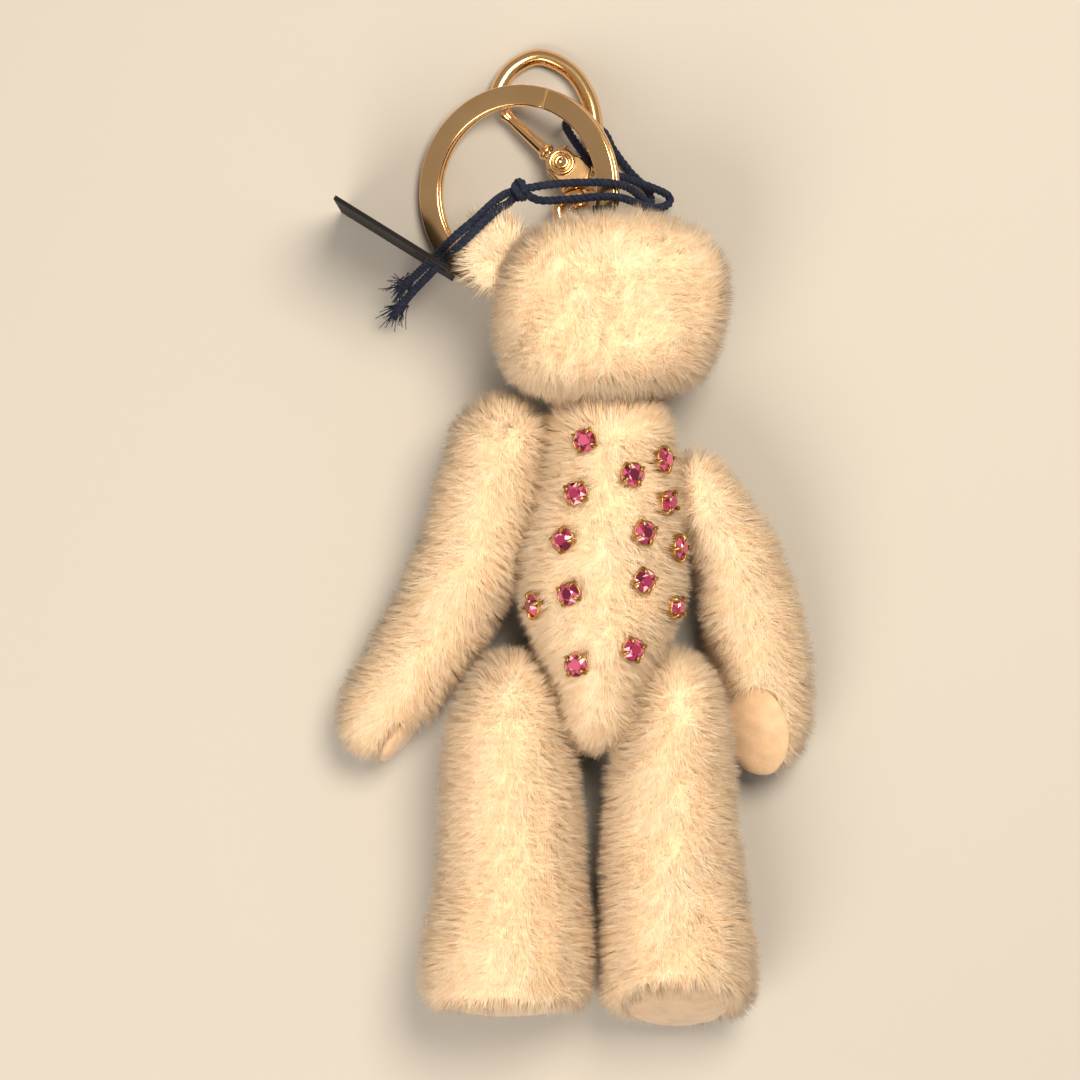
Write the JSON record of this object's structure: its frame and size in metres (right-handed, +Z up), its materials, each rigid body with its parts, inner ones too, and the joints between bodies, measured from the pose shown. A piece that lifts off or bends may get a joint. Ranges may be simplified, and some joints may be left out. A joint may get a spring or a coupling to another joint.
{
  "type": "plush keychain",
  "caption": "Jointed mohair teddy bear key charm lying on its front, with rhinestones down its back, a split ring, a swivel snap clasp and a corded swing tag.",
  "frame": {"origin": "on the surface it lies on, under the centre of the bear and its metal hardware", "axes": "+X across the bear to its left-hand side as seen from above with the head up, +Y from the feet towards the key ring, +Z up out of the bear's back"},
  "size_m": [0.0654, 0.139, 0.0281],
  "materials": {
    "mohair_plush": "cream mohair pile",
    "felt": "short wool felt",
    "rhinestone": "faceted pink stone in a brass claw setting",
    "gold_plate": "polished gold plate",
    "steel_pin": "plain",
    "fibreboard": "pressed board",
    "black_bead": "gloss",
    "black_thread": "embroidered",
    "leather": "smooth",
    "cotton_cord": "twisted cotton",
    "card": "matt coated card"
  },
  "bodies": {
    "torso": {"torso": "mohair_plush", "rhinestone_01": "rhinestone", "rhinestone_02": "rhinestone", "rhinestone_03": "rhinestone", "rhinestone_04": "rhinestone", "rhinestone_05": "rhinestone", "rhinestone_06": "rhinestone", "rhinestone_07": "rhinestone", "rhinestone_08": "rhinestone", "rhinestone_09": "rhinestone", "rhinestone_10": "rhinestone", "rhinestone_11": "rhinestone", "rhinestone_12": "rhinestone", "rhinestone_13": "rhinestone", "rhinestone_14": "rhinestone", "left_shoulder_pin": "steel_pin", "left_shoulder_body_disc": "fibreboard", "right_shoulder_pin": "steel_pin", "right_shoulder_body_disc": "fibreboard", "left_hip_pin": "steel_pin", "left_hip_body_disc": "fibreboard", "right_hip_pin": "steel_pin", "right_hip_body_disc": "fibreboard", "neck_pin": "steel_pin", "neck_body_disc": "fibreboard"},
    "head": {"head": "mohair_plush", "left_ear": "mohair_plush", "right_ear": "mohair_plush", "left_eye": "black_bead", "right_eye": "black_bead", "nose": "black_thread", "neck_head_disc": "fibreboard", "leather_tab": "leather", "tag_cord_loop": "cotton_cord", "tag_cord_tail_upper": "cotton_cord", "tag_cord_tail_lower": "cotton_cord", "tag_cord_knot": "cotton_cord"},
    "left_arm": {"left_arm": "mohair_plush", "left_paw_pad": "felt", "left_shoulder_arm_disc": "fibreboard"},
    "right_arm": {"right_arm": "mohair_plush", "right_paw_pad": "felt", "right_shoulder_arm_disc": "fibreboard"},
    "left_leg": {"left_leg": "mohair_plush", "left_foot_sole": "felt", "left_hip_leg_disc": "fibreboard"},
    "right_leg": {"right_leg": "mohair_plush", "right_foot_sole": "felt", "right_hip_leg_disc": "fibreboard"},
    "link": {"link_ring": "gold_plate"},
    "ring": {"split_ring": "gold_plate"},
    "bail": {"clasp_bail": "gold_plate"},
    "hook": {"clasp_hook": "gold_plate", "clasp_rivet": "gold_plate", "gate_spring": "steel_pin"},
    "gate": {"clasp_gate": "gold_plate"},
    "tag": {"swing_tag": "card"}
  },
  "joints": [
    {"name": "neck_turn", "type": "hinge", "parent": "torso", "child": "head", "pos_m": [0.00545, 0.01983, 0.0145], "axis": [0, 1, 0], "range_deg": [-90, 90]},
    {"name": "left_shoulder", "type": "hinge", "parent": "torso", "child": "left_arm", "pos_m": [-0.00415, 0.01253, 0.014], "axis": [1, 0, 0], "range_deg": [-60, 105]},
    {"name": "right_shoulder", "type": "hinge", "parent": "torso", "child": "right_arm", "pos_m": [0.01385, 0.00443, 0.0126], "axis": [1, 0, 0], "range_deg": [-60, 95]},
    {"name": "left_hip", "type": "hinge", "parent": "torso", "child": "left_leg", "pos_m": [-0.00255, -0.02237, 0.0122], "axis": [1, 0, 0], "range_deg": [-30, 90]},
    {"name": "right_hip", "type": "hinge", "parent": "torso", "child": "right_leg", "pos_m": [0.00905, -0.02237, 0.0122], "axis": [1, 0, 0], "range_deg": [-30, 90]},
    {"name": "link_swing", "type": "hinge", "parent": "head", "child": "link", "pos_m": [0.00405, 0.04433, 0.0157], "axis": [1, 0, 0], "range_deg": [0, 60], "deforming": ["tag_cord_loop", "tag_cord_tail_upper", "tag_cord_tail_lower", "tag_cord_knot"]},
    {"name": "ring_swing", "type": "hinge", "parent": "link", "child": "ring", "pos_m": [0.00485, 0.04433, 0.0117], "axis": [1, 0, 0], "range_deg": [0, 28], "deforming": ["tag_cord_loop", "tag_cord_tail_upper", "tag_cord_tail_lower", "tag_cord_knot"]},
    {"name": "bail_swing", "type": "hinge", "parent": "link", "child": "bail", "pos_m": [0.00405, 0.04433, 0.0041], "axis": [1, 0, 0], "range_deg": [-24, 3], "deforming": ["tag_cord_loop", "tag_cord_tail_upper", "tag_cord_tail_lower", "tag_cord_knot"]},
    {"name": "hook_swivel", "type": "hinge", "parent": "bail", "child": "hook", "pos_m": [0.00045, 0.04823, 0.0046], "axis": [-0.2084, 0.9637, -0.1668], "range_deg": [-75, 9], "deforming": ["tag_cord_loop", "tag_cord_tail_upper", "tag_cord_tail_lower", "tag_cord_knot"]},
    {"name": "gate_hinge", "type": "hinge", "parent": "hook", "child": "gate", "pos_m": [-0.00177, 0.0528, 0.00377], "axis": [-0.0352, 0.163, 0.986], "range_deg": [-24, 0], "stiffness_Nm_per_rad": 0.04, "springref_deg": 11.46, "deforming": ["tag_cord_loop", "tag_cord_tail_upper", "tag_cord_tail_lower", "tag_cord_knot"]},
    {"name": "tag_swing", "type": "hinge", "parent": "head", "child": "tag", "pos_m": [-0.01885, 0.03863, 0.0184], "axis": [0, 0, 1], "range_deg": [-10, 5], "deforming": ["tag_cord_loop", "tag_cord_tail_upper", "tag_cord_tail_lower", "tag_cord_knot"]}
  ]
}
